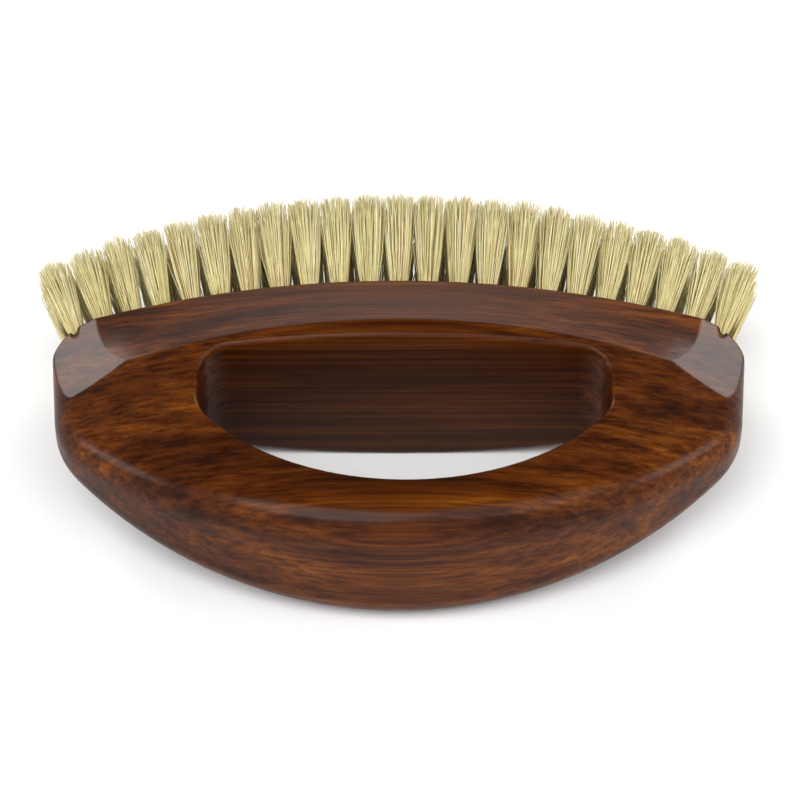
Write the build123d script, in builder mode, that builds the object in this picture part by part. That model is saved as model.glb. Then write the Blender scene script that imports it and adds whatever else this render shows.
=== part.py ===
from build123d import *
import math
import os

os.makedirs("parts", exist_ok=True)

# The brush lies on its side. Every profile is drawn in the block's own frame: X runs along the
# block, Y from the grip to the bristles, Z through the thickness, with Y = 0 on the back wall of
# the hand slot and Z = 0 on the mid-plane.

# Block, plan outline
block_length = 180.0            # end to end, at the widest point
widest_station = 8.0            # Y of the widest point
end_draft = 5.0                 # degrees that each end leans in towards the grip
grip_crest = 58.6               # hand slot back wall to the middle of the grip front
grip_fall = 42.8                # how far the grip front has curved back at half the length
grip_corner_radius = 22.0
bristle_crest = 28.5            # hand slot back wall to the middle of the bristle face
bristle_fall = 12.1             # how far the bristle face has curved back at half the length
bristle_corner_radius = 12.0

# Block, section
core_thickness = 48.0           # across the crowned sides, at the hand slot back wall
end_thickness = 16.0            # the same crowned sides, carried on to the ends
side_taper = 0.086              # rise of each crowned side per mm towards the bristles
rim_thickness = 26.0            # bristle face, at its middle
rim_end_thickness = 14.6        # bristle face, carried on to the ends
shoulder_crest = 5.1            # hand slot back wall to the line where the side breaks to the rim
shoulder_fall = 9.1             # how far that line has curved back at half the length
end_bevel_length = 23.0         # from each end to where its bevel starts on the crowned side
end_bevel_station = 2.0         # Y of that start
end_bevel_slope = 0.42          # fall per mm towards the end
end_bevel_rake = 0.1            # fall per mm towards the bristles
outline_round = 8.0

# Hand slot
slot_length = 105.0
slot_depth = 43.2
slot_front_fall = 26.0          # how far the front of the slot has curved back at its ends
slot_front_corner = 12.0
slot_back_corner = 8.0
slot_offset = 1.5               # slot middle from the block middle, along the length
slot_rim_round = 1.3

# Bristle tufts
column_count = 23
face_end_margin = 6.6           # end of the bristle face to the middle of the end column
bristle_length = 32.5           # out of the middle of the bristle face
end_bristle_length = 24.0       # out of the ends of the bristle face
hole_diameter = 4.2
hole_depth = 10.0
rim_web = 1.1                   # least wood between a hole and the edge of the bristle face
row_web = 0.5                   # least wood between the holes of a column
tuft_fit = 0.05                 # between a tuft and the wall of its hole
tip_gap = 0.5                   # between the tips of neighbouring tufts

# Anchors: a flat staple of wire across the bottom of each hole
anchor_thickness = 0.35
anchor_width = 2.0
anchor_bite = 0.4               # into the wood at each side of the hole
anchor_height = 0.8             # hole bottom to the anchor

# Construction allowances
overrun = 20.0
overreach = 1.1                 # the waste runs past the ends by this factor
station_count = 9
square_to = 0.02                # largest cosine between directions taken as square to each other
grip_end_steps = 20             # to settle where the grip front meets the ends

half_length = block_length / 2
half_core = core_thickness / 2
far_back = bristle_crest + overrun
lean = math.degrees(math.atan(side_taper))
depth_middle = (bristle_crest + bristle_length - grip_crest) / 2
rest = Location((0, -depth_middle, half_core * math.cos(math.radians(lean))), (lean, 0, 0))


def laid(plane):
    """A plane of the block's own frame, carried to where the brush lies."""
    return Plane(rest * plane.location)


def arc_radius(fall, half_span):
    return (half_span ** 2 + fall ** 2) / (2 * fall)


def arc_fall(x, fall, half_span=half_length):
    """Fall at x of an arc that has fallen by fall at half_span."""
    radius = arc_radius(fall, half_span)
    return radius - math.sqrt(radius ** 2 - x ** 2)


def side_height(x, y):
    return half_core + side_taper * y - arc_fall(x, (core_thickness - end_thickness) / 2)


def rim_height(x):
    return rim_thickness / 2 - arc_fall(x, (rim_thickness - rim_end_thickness) / 2)


def end_x(y):
    return half_length - (widest_station - y) * math.tan(math.radians(end_draft))


def above_side(x):
    """Half section of the wood above the crowned side at station x."""
    front = -grip_crest - overrun
    top = half_core + overrun
    return [(front, side_height(x, front)), (far_back, side_height(x, far_back)), (far_back, top), (front, top)]


def above_slope(x):
    """Half section of the wood above the slope from the shoulder to the rim at station x."""
    shoulder = shoulder_crest - arc_fall(x, shoulder_fall)
    rim = bristle_crest - arc_fall(x, bristle_fall)
    high = side_height(x, shoulder)
    slope = (rim_height(x) - high) / (rim - shoulder)
    top = half_core + 2 * overrun
    return [(shoulder - overrun, high - slope * overrun), (far_back, high + slope * (far_back - shoulder)),
            (far_back, top), (shoulder - overrun, top)]


def stations():
    """Where along the block the sections of a waste loft are taken."""
    return [overreach * half_length * (2 * n / (station_count - 1) - 1) for n in range(station_count)]


def column_seat(column):
    """Angle, X and Y of a tuft column on the bristle face."""
    angle = (column - (column_count - 1) / 2) * column_pitch / face_radius
    return angle, face_radius * math.sin(angle), bristle_crest - face_radius * (1 - math.cos(angle))


def bristle_reach(column):
    """Length of the bristles of a column, trimmed shorter towards the ends."""
    share = (2 * column / (column_count - 1) - 1) ** 2
    return bristle_length - (bristle_length - end_bristle_length) * share


def row_heights(x):
    """Heights of the tufts of a column at x, as many as the rim has room for."""
    span = 2 * (rim_height(x) - rim_web - hole_diameter / 2)
    rows = int(span / (hole_diameter + row_web)) + 1
    return [span * (row / (rows - 1) - 0.5) for row in range(rows)], span / (rows - 1)


def seats(column, depth):
    """Planes square to the tufts of a column, at a depth below the bristle face."""
    angle, x, y = column_seat(column)
    out = Vector(math.sin(angle), math.cos(angle), 0)
    along = Vector(math.cos(angle), -math.sin(angle), 0)
    heights, _ = row_heights(x)
    return [laid(Plane(Vector(x, y, z) - out * depth, along, out)) for z in heights]


face_radius = arc_radius(bristle_fall, half_length)
face_end_x = end_x(bristle_crest - bristle_fall)
face_end_y = bristle_crest - arc_fall(face_end_x, bristle_fall)
face_half_arc = face_radius * math.asin(face_end_x / face_radius)
column_pitch = 2 * (face_half_arc - face_end_margin) / (column_count - 1)
grip_radius = arc_radius(grip_fall, half_length)
grip_end_y = -grip_crest + grip_fall
for _ in range(grip_end_steps):
    grip_end_y = grip_radius - grip_crest - math.sqrt(grip_radius ** 2 - end_x(grip_end_y) ** 2)
grip_end_x = end_x(grip_end_y)
up = laid(Plane.XY).z_dir
anchor_length = hole_diameter + 2 * anchor_bite

with BuildPart() as block:
    # Blank: the grip front and both ends, run on past the bristle face
    with BuildSketch(laid(Plane.XY.offset(-half_core - overrun))) as blank:
        with BuildLine():
            ThreePointArc((-grip_end_x, grip_end_y), (0, -grip_crest), (grip_end_x, grip_end_y))
            Polyline((grip_end_x, grip_end_y), (end_x(far_back), far_back),
                     (-end_x(far_back), far_back), (-grip_end_x, grip_end_y))
        make_face()
        fillet(blank.vertices().sort_by(Axis.Y)[:2], grip_corner_radius)
    extrude(amount=core_thickness + 2 * overrun)
    # Crowned sides
    for side in (1, -1):
        for x in stations():
            with BuildSketch(laid(Plane.YZ.offset(x))):
                with BuildLine():
                    Polyline(*[(y, side * z) for y, z in above_side(x)], close=True)
                make_face()
        loft(mode=Mode.SUBTRACT)
    # Rounded edge along the grip and the ends
    walls = block.faces().filter_by(lambda f: abs(f.normal_at().dot(up)) < square_to)
    walls = walls.sort_by(Axis.Y)[:-1]
    outline = [e for e in walls.edges() if abs(e.tangent_at(0.5).dot(up)) < 0.5]
    back_y = walls.vertices().sort_by(Axis.Y)[-1].Y
    fillet([e for e in outline if e.center().Y < back_y - 1], outline_round)
    # Bevels at the ends
    bevel_x = half_length - end_bevel_length
    for end in (1, -1):
        for side in (1, -1):
            start = Vector(end * bevel_x, end_bevel_station, side * side_height(bevel_x, end_bevel_station))
            away = Vector(end * end_bevel_slope, end_bevel_rake, side)
            with BuildSketch(laid(Plane(start, Vector(1, 0, -end * side * end_bevel_slope), away))):
                Rectangle(block_length, block_length)
    extrude(amount=2 * overrun, mode=Mode.SUBTRACT)
    # Each side breaks at the shoulder and slopes down to the rim of the bristle face
    for side in (1, -1):
        for x in stations():
            with BuildSketch(laid(Plane.YZ.offset(x))):
                with BuildLine():
                    Polyline(*[(y, side * z) for y, z in above_slope(x)], close=True)
                make_face()
        loft(mode=Mode.SUBTRACT)
    # Bristle face, with its rounded corners
    with BuildSketch(laid(Plane.XY.offset(-half_core - overrun))) as kept:
        with BuildLine():
            ThreePointArc((-face_end_x, face_end_y), (0, bristle_crest), (face_end_x, face_end_y))
            Polyline((face_end_x, face_end_y), (end_x(0), 0), (end_x(0), -grip_crest - overrun),
                     (-end_x(0), -grip_crest - overrun), (-end_x(0), 0), (-face_end_x, face_end_y))
        make_face()
        fillet(kept.vertices().sort_by(Axis.Y)[-2:], bristle_corner_radius)
    extrude(amount=core_thickness + 2 * overrun, mode=Mode.INTERSECT)
    # Hand slot
    with BuildSketch(laid(Plane.XY.offset(-half_core - overrun))) as slot:
        with BuildLine():
            half_slot = slot_length / 2
            left, right = slot_offset - half_slot, slot_offset + half_slot
            ThreePointArc((left, slot_front_fall - slot_depth), (slot_offset, -slot_depth),
                          (right, slot_front_fall - slot_depth))
            Polyline((right, slot_front_fall - slot_depth), (right, 0), (left, 0),
                     (left, slot_front_fall - slot_depth))
        make_face()
        fillet(slot.vertices().sort_by(Axis.Y)[:2], slot_front_corner)
        fillet(slot.vertices().sort_by(Axis.Y)[-2:], slot_back_corner)
    extrude(amount=core_thickness + 2 * overrun, mode=Mode.SUBTRACT)
    slot_edges = block.faces(Select.LAST).filter_by(lambda f: abs(f.normal_at().dot(up)) < square_to).edges()
    fillet([e for e in slot_edges if abs(e.tangent_at(0.5).dot(up)) < 0.5], slot_rim_round)
    # Blind holes for the tufts
    for column in range(column_count):
        for seat in seats(column, -overrun):
            with BuildSketch(seat):
                Circle(hole_diameter / 2)
    extrude(amount=-overrun - hole_depth, mode=Mode.SUBTRACT)
    # Cuts that the anchors bite into the wood
    for column in range(column_count):
        for seat in seats(column, hole_depth - anchor_height):
            with BuildSketch(seat):
                Rectangle(anchor_length, anchor_thickness)
    extrude(amount=-anchor_width, mode=Mode.SUBTRACT)
block.part.label = "block"
export_step(block.part, "parts/block.step")


for column in range(column_count):
    _, x, _ = column_seat(column)
    _, row_pitch = row_heights(x)
    reach = bristle_reach(column)
    tip_width = column_pitch * (1 + reach / face_radius) - tip_gap
    with BuildPart() as tufts:
        for root, mouth, tip in zip(seats(column, hole_depth), seats(column, 0), seats(column, -reach)):
            with BuildSketch(root):
                Circle(hole_diameter / 2 - tuft_fit)
            extrude(amount=hole_depth)
            with BuildSketch(mouth):
                Circle(hole_diameter / 2 - tuft_fit)
            with BuildSketch(tip):
                Ellipse(tip_width / 2, (row_pitch - tip_gap) / 2)
            loft()
        for seat in seats(column, hole_depth - anchor_height):
            with BuildSketch(seat):
                Rectangle(anchor_length, anchor_thickness)
        extrude(amount=-anchor_width, mode=Mode.SUBTRACT)
    tufts.part.label = f"tufts_{column + 1:02d}"
    export_step(tufts.part, f"parts/tufts_{column + 1:02d}.step")

    with BuildPart() as anchors:
        for seat in seats(column, hole_depth - anchor_height):
            with BuildSketch(seat):
                Rectangle(anchor_length, anchor_thickness)
        extrude(amount=-anchor_width)
    anchors.part.label = f"anchors_{column + 1:02d}"
    export_step(anchors.part, f"parts/anchors_{column + 1:02d}.step")
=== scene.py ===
import math

import bpy
import numpy as np
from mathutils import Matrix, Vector


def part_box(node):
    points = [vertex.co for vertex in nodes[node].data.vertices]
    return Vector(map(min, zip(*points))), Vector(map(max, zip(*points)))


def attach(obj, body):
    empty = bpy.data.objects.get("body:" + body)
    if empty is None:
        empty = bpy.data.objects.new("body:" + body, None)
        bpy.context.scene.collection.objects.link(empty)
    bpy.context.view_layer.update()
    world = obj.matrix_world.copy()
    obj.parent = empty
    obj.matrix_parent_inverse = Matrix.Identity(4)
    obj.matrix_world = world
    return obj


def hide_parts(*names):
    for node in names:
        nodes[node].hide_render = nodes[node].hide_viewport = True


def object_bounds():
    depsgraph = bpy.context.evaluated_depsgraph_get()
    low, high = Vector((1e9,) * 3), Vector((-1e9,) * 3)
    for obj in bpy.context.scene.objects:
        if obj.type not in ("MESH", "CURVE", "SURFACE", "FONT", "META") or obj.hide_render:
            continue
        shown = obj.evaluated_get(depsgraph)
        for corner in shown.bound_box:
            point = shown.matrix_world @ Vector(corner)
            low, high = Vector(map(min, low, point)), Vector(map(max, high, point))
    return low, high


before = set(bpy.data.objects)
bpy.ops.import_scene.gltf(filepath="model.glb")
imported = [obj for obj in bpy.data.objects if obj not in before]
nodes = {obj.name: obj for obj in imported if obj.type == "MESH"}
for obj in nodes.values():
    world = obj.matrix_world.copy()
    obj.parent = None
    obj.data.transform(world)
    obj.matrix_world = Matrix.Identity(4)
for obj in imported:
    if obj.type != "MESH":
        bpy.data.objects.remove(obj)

cad_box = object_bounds()
MM = 0.001


# ---------- materials ----------

EDGE_RADIUS = 0.9 * MM
EDGE_SAMPLES = 6
PORE_RELIEF = 0.04 * MM
LACQUER_RELIEF = 0.03 * MM


def new_material(name):
    mat = bpy.data.materials.new(name)
    mat.use_nodes = True
    tree = mat.node_tree
    return mat, tree, tree.nodes["Principled BSDF"]


def add(tree, kind, **settings):
    """A new shader node. A setting goes to the input of that name, or else to the property."""
    node = tree.nodes.new(kind)
    for key, value in settings.items():
        if key in node.inputs:
            node.inputs[key].default_value = value
        else:
            setattr(node, key, value)
    return node


def stretched_noise(tree, scale, detail, roughness=0.5, distortion=0.0):
    """Noise over the object's own X, Y and Z, with scale features to a metre. Returns its factor."""
    where = add(tree, "ShaderNodeTexCoord")
    fit = add(tree, "ShaderNodeMapping", Scale=scale)
    tree.links.new(where.outputs["Object"], fit.inputs["Vector"])
    noise = add(tree, "ShaderNodeTexNoise", Scale=1.0, Detail=detail,
                Roughness=roughness, Distortion=distortion)
    tree.links.new(fit.outputs["Vector"], noise.inputs["Vector"])
    return noise.outputs["Fac"]


def ramp(tree, fac, stops):
    """The colour for fac, between (place, colour) stops in rising order of place."""
    node = add(tree, "ShaderNodeValToRGB")
    elements = node.color_ramp.elements
    for index, (place, colour) in ((0, stops[0]), (1, stops[-1])):
        elements[index].position = place
        elements[index].color = (*colour, 1)
    for place, colour in stops[1:-1]:
        elements.new(place).color = (*colour, 1)
    tree.links.new(fac, node.inputs["Fac"])
    return node.outputs["Color"]


def multiply(tree, strength, a, b):
    """Colour a multiplied by colour b, as strongly as strength says."""
    node = add(tree, "ShaderNodeMix", data_type="RGBA", blend_type="MULTIPLY")
    node.inputs["Factor"].default_value = strength
    tree.links.new(a, node.inputs["A"])
    tree.links.new(b, node.inputs["B"])
    return node.outputs["Result"]


def span(tree, fac, low, high):
    """A number that goes from low to high as fac goes from 0 to 1."""
    node = add(tree, "ShaderNodeMapRange", **{"To Min": low, "To Max": high})
    tree.links.new(fac, node.inputs["Value"])
    return node.outputs["Result"]


def softened(tree, height, distance):
    """A normal with its sharp edges rounded in shading, and on it a relief that is distance metres high."""
    edge = add(tree, "ShaderNodeBevel", Radius=EDGE_RADIUS)
    edge.samples = EDGE_SAMPLES
    relief = add(tree, "ShaderNodeBump", Strength=1.0, Distance=distance)
    tree.links.new(height, relief.inputs["Height"])
    tree.links.new(edge.outputs["Normal"], relief.inputs["Normal"])
    return relief.outputs["Normal"]


def lacquered_wood():
    """Dark stained wood, its grain along X at four widths, under a thin satin lacquer."""
    mat, tree, shader = new_material("lacquered_wood")
    broad = stretched_noise(tree, (6, 60, 48), detail=3.0, roughness=0.5, distortion=0.7)
    band = stretched_noise(tree, (5, 240, 210), detail=3.0, roughness=0.55, distortion=0.25)
    streak = stretched_noise(tree, (8, 900, 780), detail=5.0, roughness=0.6, distortion=0.1)
    pores = stretched_noise(tree, (80, 3400, 3400), detail=2.0)
    body = ramp(tree, broad, [(0.32, (0.032, 0.0062, 0.0004)), (0.45, (0.055, 0.0118, 0.0007)),
                              (0.58, (0.076, 0.0175, 0.0010)), (0.70, (0.110, 0.0285, 0.0018))])
    layers = ramp(tree, band, [(0.34, (0.50, 0.44, 0.38)), (0.47, (0.95, 0.93, 0.90)),
                               (0.55, (1.05, 1.05, 1.05)), (0.68, (1.55, 1.70, 1.75))])
    lines = ramp(tree, streak, [(0.36, (0.52, 0.46, 0.42)), (0.49, (0.96, 0.95, 0.94)),
                                (0.66, (1.50, 1.65, 1.70))])
    colour = multiply(tree, 1.0, body, layers)
    colour = multiply(tree, 1.0, colour, lines)
    flecks = ramp(tree, pores, [(0.32, (0.50, 0.46, 0.44)), (0.45, (1.0, 1.0, 1.0)), (1.0, (1.0, 1.0, 1.0))])
    colour = multiply(tree, 0.5, colour, flecks)
    tree.links.new(colour, shader.inputs["Base Color"])
    tree.links.new(span(tree, streak, 0.34, 0.48), shader.inputs["Roughness"])
    shader.inputs["Specular IOR Level"].default_value = 0.04
    shader.inputs["Coat Weight"].default_value = 0.21
    shader.inputs["Coat Roughness"].default_value = 0.16
    tree.links.new(softened(tree, pores, PORE_RELIEF), shader.inputs["Normal"])
    tree.links.new(softened(tree, streak, LACQUER_RELIEF), shader.inputs["Coat Normal"])
    return mat


def hair():
    """Pale bristle: each fibre has its own tint, and painted shade darkens it towards its root."""
    mat, tree, shader = new_material("horsehair")
    tint = add(tree, "ShaderNodeAttribute", attribute_name="tint")
    along = add(tree, "ShaderNodeAttribute", attribute_name="along")
    fibre = ramp(tree, tint.outputs["Fac"], [(0.0, (0.50, 0.34, 0.15)), (0.12, (0.72, 0.50, 0.24)),
                                             (0.24, (0.69, 0.64, 0.31)), (0.55, (0.83, 0.73, 0.38)),
                                             (0.82, (0.89, 0.81, 0.48)), (1.0, (0.94, 0.89, 0.67))])
    # painted shade: the colour darkens towards the fibre's root, where the rows lie in each other's shadow;
    # the outer rows' roots get less of it
    painted_root_shade = ramp(tree, along.outputs["Fac"], [(0.0, (0.10, 0.07, 0.03)), (0.18, (0.24, 0.19, 0.10)),
                                              (0.36, (0.80, 0.76, 0.66)), (0.55, (0.96, 0.95, 0.91)),
                                              (1.0, (1.0, 1.0, 1.0))])
    colour = multiply(tree, 1.0, fibre, painted_root_shade)
    mottle = stretched_noise(tree, (500, 300, 500), detail=2.0)
    blotches = ramp(tree, mottle, [(0.3, (0.80, 0.78, 0.70)), (0.7, (1.04, 1.04, 1.02))])
    colour = multiply(tree, 0.4, colour, blotches)
    tree.links.new(colour, shader.inputs["Base Color"])
    tree.links.new(span(tree, tint.outputs["Fac"], 0.55, 0.40), shader.inputs["Roughness"])
    shader.inputs["Specular IOR Level"].default_value = 0.35
    return mat


def wire():
    """Bright steel with fine scratches."""
    mat, tree, shader = new_material("staple_wire")
    scratches = stretched_noise(tree, (900, 9000, 9000), detail=2.0)
    colour = ramp(tree, scratches, [(0.3, (0.45, 0.45, 0.46)), (0.7, (0.62, 0.62, 0.63))])
    tree.links.new(colour, shader.inputs["Base Color"])
    tree.links.new(span(tree, scratches, 0.25, 0.45), shader.inputs["Roughness"])
    shader.inputs["Metallic"].default_value = 1.0
    return mat


def paper_floor():
    """Matt white paper."""
    mat, tree, shader = new_material("paper_floor")
    grain = stretched_noise(tree, (30, 30, 30), detail=3.0)
    colour = ramp(tree, grain, [(0.3, (0.885, 0.885, 0.887)), (0.7, (0.90, 0.90, 0.90))])
    tree.links.new(colour, shader.inputs["Base Color"])
    shader.inputs["Roughness"].default_value = 0.9
    shader.inputs["Specular IOR Level"].default_value = 0.1
    return mat


def dress(obj, mat):
    """Gives a CAD node one material all over."""
    if not obj.material_slots:
        obj.data.materials.append(mat)
    else:
        for slot in obj.material_slots:
            slot.link = "OBJECT"
            slot.material = mat


wood, horsehair, steel = lacquered_wood(), hair(), wire()
for name, node in nodes.items():
    dress(node, wood if name == "block" else steel)


# ---------- bristles ----------

FIBRES = 230      # in each tuft
RINGS = np.array([0.0, 0.13, 0.20, 0.45, 0.72, 1.0])    # of a fibre, from its root to its tip
CORNERS = 3                             # in each ring
HOLE_RADIUS = 1.95 * MM                 # the bundle's in its hole
ROOT_DEPTH = 4 * MM                     # how far the fibres go down into the hole
END_SLICE = 0.3 * MM                    # a CAD tuft's points this near an end belong to its end ring
BELOW_MOUTH = 5 * MM                    # a CAD tuft's first ring further than this from its root is the mouth
TIP_WIDE, TIP_HIGH = 1.10, 1.25         # the bundle's tip against the CAD tuft's
MOUTH_FLARE, MOUTH_REACH, FLARE_CURVE = 0.08, 0.06, 1.12
WANDER_U, WANDER_V = 0.45 * MM, 0.40 * MM       # of a fibre's tip, along and over
STRAY_SHARE, STRAY_WANDER = 0.04, 2.4
BOW = 0.35 * MM                         # of a fibre's middle
END_SPLAY = 1.5 * MM                    # of the tips in the outermost columns
RAGGED, DOMED = 0.012, 0.02             # uneven length, and what the outer fibres of a bundle lack
THINNEST, THICKER, TAPER = 0.15, 0.04, 0.55     # fibre radius in mm, its spread, and what is lost at the tip
TINT_MIDDLE, TINT_SPREAD, DARK_SHARE, DARK_STEP = 0.6, 0.2, 0.08, 0.4
OPEN_ROOT = 0.35                        # an outer tuft's root is lit as if this far along the fibre


def clumps(mesh):
    """Corner positions of each separate solid of a CAD mesh, in metres."""
    places = np.empty(len(mesh.vertices) * 3)
    mesh.vertices.foreach_get("co", places)
    places = places.reshape(-1, 3)
    spots, back = np.unique(np.round(places, 6), axis=0, return_inverse=True)
    leader = np.arange(len(spots))

    def top(i):
        while leader[i] != i:
            leader[i] = leader[leader[i]]
            i = leader[i]
        return i

    back = back.ravel()
    for edge in mesh.edges:
        a, b = top(back[edge.vertices[0]]), top(back[edge.vertices[1]])
        leader[a] = b
    owner = np.array([top(i) for i in range(len(spots))])
    return [spots[owner == one] for one in np.unique(owner)]


def tuft_frame(points):
    """A tuft's mouth centre, its axis, its length from the mouth, and its tip's ring around its centre."""
    middle = points.mean(axis=0)
    axis = np.linalg.svd(points - middle, full_matrices=False)[2][0]
    axis = axis if axis[1] > 0 else -axis
    reach = (points - middle) @ axis
    near, far = points[reach < reach.min() + END_SLICE], points[reach > reach.max() - END_SLICE]
    root = (near.min(axis=0) + near.max(axis=0)) / 2
    tip = (far.min(axis=0) + far.max(axis=0)) / 2
    axis = (tip - root) / np.linalg.norm(tip - root)
    reach = (points - root) @ axis
    mouth = reach[reach > BELOW_MOUTH].min()
    return root + axis * mouth, axis, np.linalg.norm(tip - root) - mouth, far - tip


def bristle_column(name, number, total):
    """One mesh of separate fibres in place of one column's CAD tufts."""
    dice = np.random.RandomState(1000 + number)
    verts, tints, painted_shade_along = [], [], []
    turn = 2 * np.pi * np.arange(CORNERS) / CORNERS
    side = (number - (total + 1) / 2) / ((total - 1) / 2)       # -1 at the first column, 1 at the last
    tufts = [tuft_frame(points) for points in clumps(nodes[name].data)]
    heights = [mouth[2] for mouth, _, _, _ in tufts]
    for mouth, axis, length, rim in tufts:
        outer = mouth[2] in (min(heights), max(heights))
        along = np.array([axis[1], -axis[0], 0.0])
        along /= np.linalg.norm(along)
        over = np.cross(along, axis)
        wide, high = np.abs(rim @ along).max(), np.abs(rim @ over).max()
        radius = np.sqrt(dice.rand(FIBRES))
        angle = dice.rand(FIBRES) * 2 * np.pi
        u, v = radius * np.cos(angle), radius * np.sin(angle)
        stray = np.where(dice.rand(FIBRES) < STRAY_SHARE, STRAY_WANDER, 1.0)
        du = dice.randn(FIBRES) * WANDER_U * stray
        dv = dice.randn(FIBRES) * WANDER_V * stray
        bow_u, bow_v = dice.randn(FIBRES) * BOW, dice.randn(FIBRES) * BOW
        grow = length * (1 + dice.randn(FIBRES) * RAGGED - DOMED * radius ** 2)
        thick = (THINNEST + THICKER * dice.rand(FIBRES)) * MM
        tint = dice.normal(TINT_MIDDLE, TINT_SPREAD, FIBRES) - (dice.rand(FIBRES) < DARK_SHARE) * DARK_STEP
        tint = np.clip(tint, 0, 1)
        for s in RINGS:
            reach = -ROOT_DEPTH + (grow + ROOT_DEPTH) * s
            share = np.clip(reach / length, 0, None)
            inside = np.clip(share, 0, 1)
            bend = np.sin(np.pi * inside)
            flare = (MOUTH_FLARE * np.clip(share / MOUTH_REACH, 0, 1)
                     + (1 - MOUTH_FLARE) * (1 - (1 - inside) ** FLARE_CURVE))
            half_wide = HOLE_RADIUS + (wide * TIP_WIDE - HOLE_RADIUS) * flare
            half_high = HOLE_RADIUS + (high * TIP_HIGH - HOLE_RADIUS) * flare
            splay = side * abs(side) ** 3 * END_SPLAY * share
            cu = u * half_wide + du * share ** 1.5 + bow_u * bend + splay
            cv = v * half_high + dv * share ** 1.5 + bow_v * bend
            size = thick * (1 - TAPER * s ** 3)
            centre = mouth + np.outer(reach, axis) + np.outer(cu, along) + np.outer(cv, over)
            for t in turn:
                offset = np.outer(size * math.cos(t), along) + np.outer(size * math.sin(t), over)
                verts.append(centre + offset)
            tints.append(np.repeat(tint[None], CORNERS, 0))
            # painted shade level: an inner tuft's root gets the darkest painted shade, and an outer tuft's
            # root is lightened by OPEN_ROOT
            light = OPEN_ROOT + (1 - OPEN_ROOT) * share if outer else share
            painted_shade_along.append(np.repeat(light[None], CORNERS, 0))

    per_fibre = len(RINGS) * CORNERS
    verts = np.array(verts).reshape(-1, per_fibre, FIBRES, 3).transpose(0, 2, 1, 3).reshape(-1, 3)
    tints = np.array(tints).reshape(-1, per_fibre, FIBRES).transpose(0, 2, 1).reshape(-1)
    painted_shade_along = np.array(painted_shade_along).reshape(-1, per_fibre, FIBRES).transpose(0, 2, 1).reshape(-1)
    pattern = []                        # the faces of one fibre: its sides, and then its two ends
    for low in range(0, per_fibre - CORNERS, CORNERS):
        high = low + CORNERS
        for c in range(CORNERS):
            d = (c + 1) % CORNERS
            pattern.append((low + c, low + d, high + d, high + c))
    last = per_fibre - CORNERS
    pattern += [(2, 1, 0), (last, last + 1, last + 2)]
    faces = []
    for base in range(0, len(verts), per_fibre):
        faces.extend(tuple(base + i for i in face) for face in pattern)

    mesh = bpy.data.meshes.new(f"bristles_{number:02d}")
    mesh.from_pydata(verts.tolist(), [], faces)
    # the along attribute carries the painted root shade level, not just the place along the fibre
    for key, values in (("tint", tints), ("along", painted_shade_along)):
        mesh.attributes.new(key, "FLOAT", "POINT").data.foreach_set("value", values)
    mesh.polygons.foreach_set("use_smooth", [True] * len(mesh.polygons))
    mesh.materials.append(horsehair)
    obj = bpy.data.objects.new(f"bristles_{number:02d}", mesh)
    bpy.context.scene.collection.objects.link(obj)
    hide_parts(name)
    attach(obj, "root")


columns = sorted(n for n in nodes if n.startswith("tufts_"))
for number, name in enumerate(columns, 1):
    bristle_column(name, number, len(columns))


# ---------- floor, light and camera ----------

FLOOR = 12                              # half its size, in metres
HORIZON_FACING, ZENITH_FACING = 0.35, 0.80
HORIZON_GLOW, ZENITH_GLOW = 0.95, 0.08

scene = bpy.context.scene
floor_mesh = bpy.data.meshes.new("floor")
corners = [(-FLOOR, -FLOOR, 0), (FLOOR, -FLOOR, 0), (FLOOR, FLOOR, 0), (-FLOOR, FLOOR, 0)]
floor_mesh.from_pydata(corners, [], [(0, 1, 2, 3)])
floor = bpy.data.objects.new("floor", floor_mesh)
floor.location.z = cad_box[0].z
scene.collection.objects.link(floor)
floor_mesh.materials.append(paper_floor())

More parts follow.
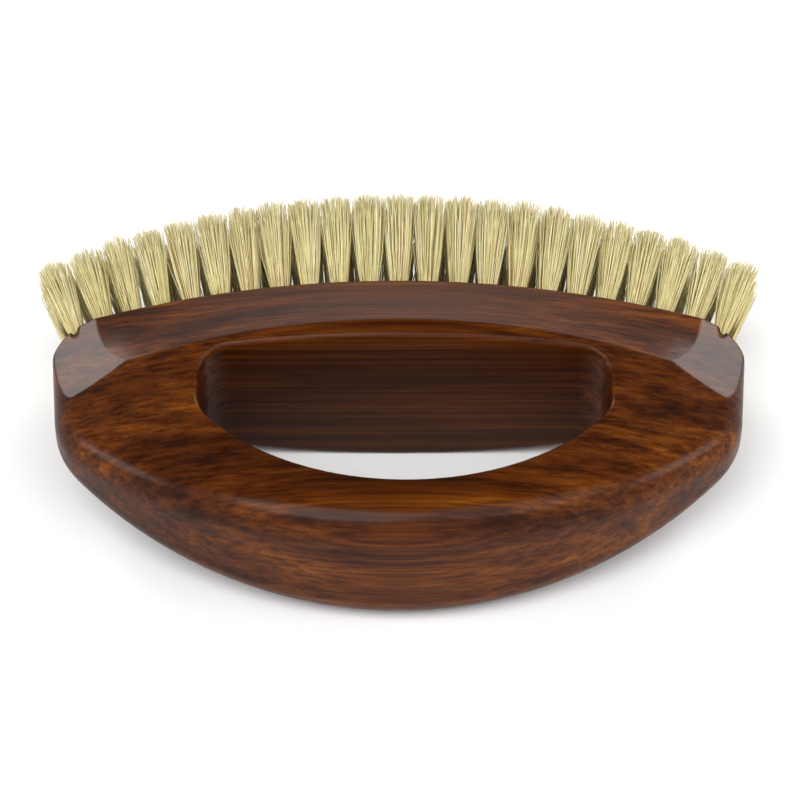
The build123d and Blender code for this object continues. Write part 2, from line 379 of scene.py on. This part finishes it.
# The studio glows all round and is dim overhead, a little behind the brush.
world = bpy.data.worlds.new("studio")
scene.world = world
world.use_nodes = True
tree = world.node_tree
where = add(tree, "ShaderNodeTexCoord")
facing = add(tree, "ShaderNodeVectorMath", operation="DOT_PRODUCT")
facing.inputs[1].default_value = Vector((0, 0.30, 0.95)).normalized()
tree.links.new(where.outputs["Generated"], facing.inputs[0])
shade = add(tree, "ShaderNodeMapRange", interpolation_type="SMOOTHSTEP")
shade.inputs["From Min"].default_value = HORIZON_FACING
shade.inputs["From Max"].default_value = ZENITH_FACING
shade.inputs["To Min"].default_value = HORIZON_GLOW
shade.inputs["To Max"].default_value = ZENITH_GLOW
tree.links.new(facing.outputs["Value"], shade.inputs["Value"])
tree.nodes["Background"].inputs["Color"].default_value = (1, 1, 1, 1)
tree.links.new(shade.outputs["Result"], tree.nodes["Background"].inputs["Strength"])


def aim(name, data, place, towards):
    """A lamp or camera at place that looks along towards."""
    obj = bpy.data.objects.new(name, data)
    scene.collection.objects.link(obj)
    obj.location = place
    obj.rotation_mode = "QUATERNION"
    obj.rotation_quaternion = Vector(towards).to_track_quat("-Z", "Y")
    return obj


def sun(name, towards, strength, angle):
    """A far light that shines along towards, with angle degrees of softness."""
    data = bpy.data.lights.new(name, "SUN")
    data.energy = strength
    data.angle = math.radians(angle)
    aim(name, data, (0, 0, 0), towards)


def softbox(name, place, width, strength):
    """A round lamp at place, in metres, that faces the brush."""
    data = bpy.data.lights.new(name, "AREA")
    data.shape = "DISK"
    data.size = width
    data.energy = strength
    aim(name, data, place, -Vector(place))


sun("key", (0.30, 0.45, -1.0), 1.6, 40)
sun("fill", (-0.45, 0.35, -1.0), 0.85, 40)
softbox("back_left", (-0.95, 1.30, 0.75), 0.55, 8.0)
softbox("back_right", (0.95, 1.30, 0.75), 0.55, 8.0)
softbox("left", (-1.5, -0.2, 0.75), 0.6, 4.0)
softbox("right", (1.5, -0.2, 0.75), 0.6, 4.0)

grip_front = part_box("block")[0].y
target = Vector((0.36 * MM, grip_front + 58.0 * MM, 23.8 * MM))
tilt, distance = math.radians(45.1), 900 * MM
away = Vector((0, -math.cos(tilt), math.sin(tilt))) * distance
lens = bpy.data.cameras.new("camera")
lens.lens, lens.sensor_width = 156.3, 36
lens.clip_start, lens.clip_end = 0.01, 100
scene.camera = aim("camera", lens, target + away, -away)
scene.view_settings.view_transform = "Standard"

bpy.context.view_layer.update()
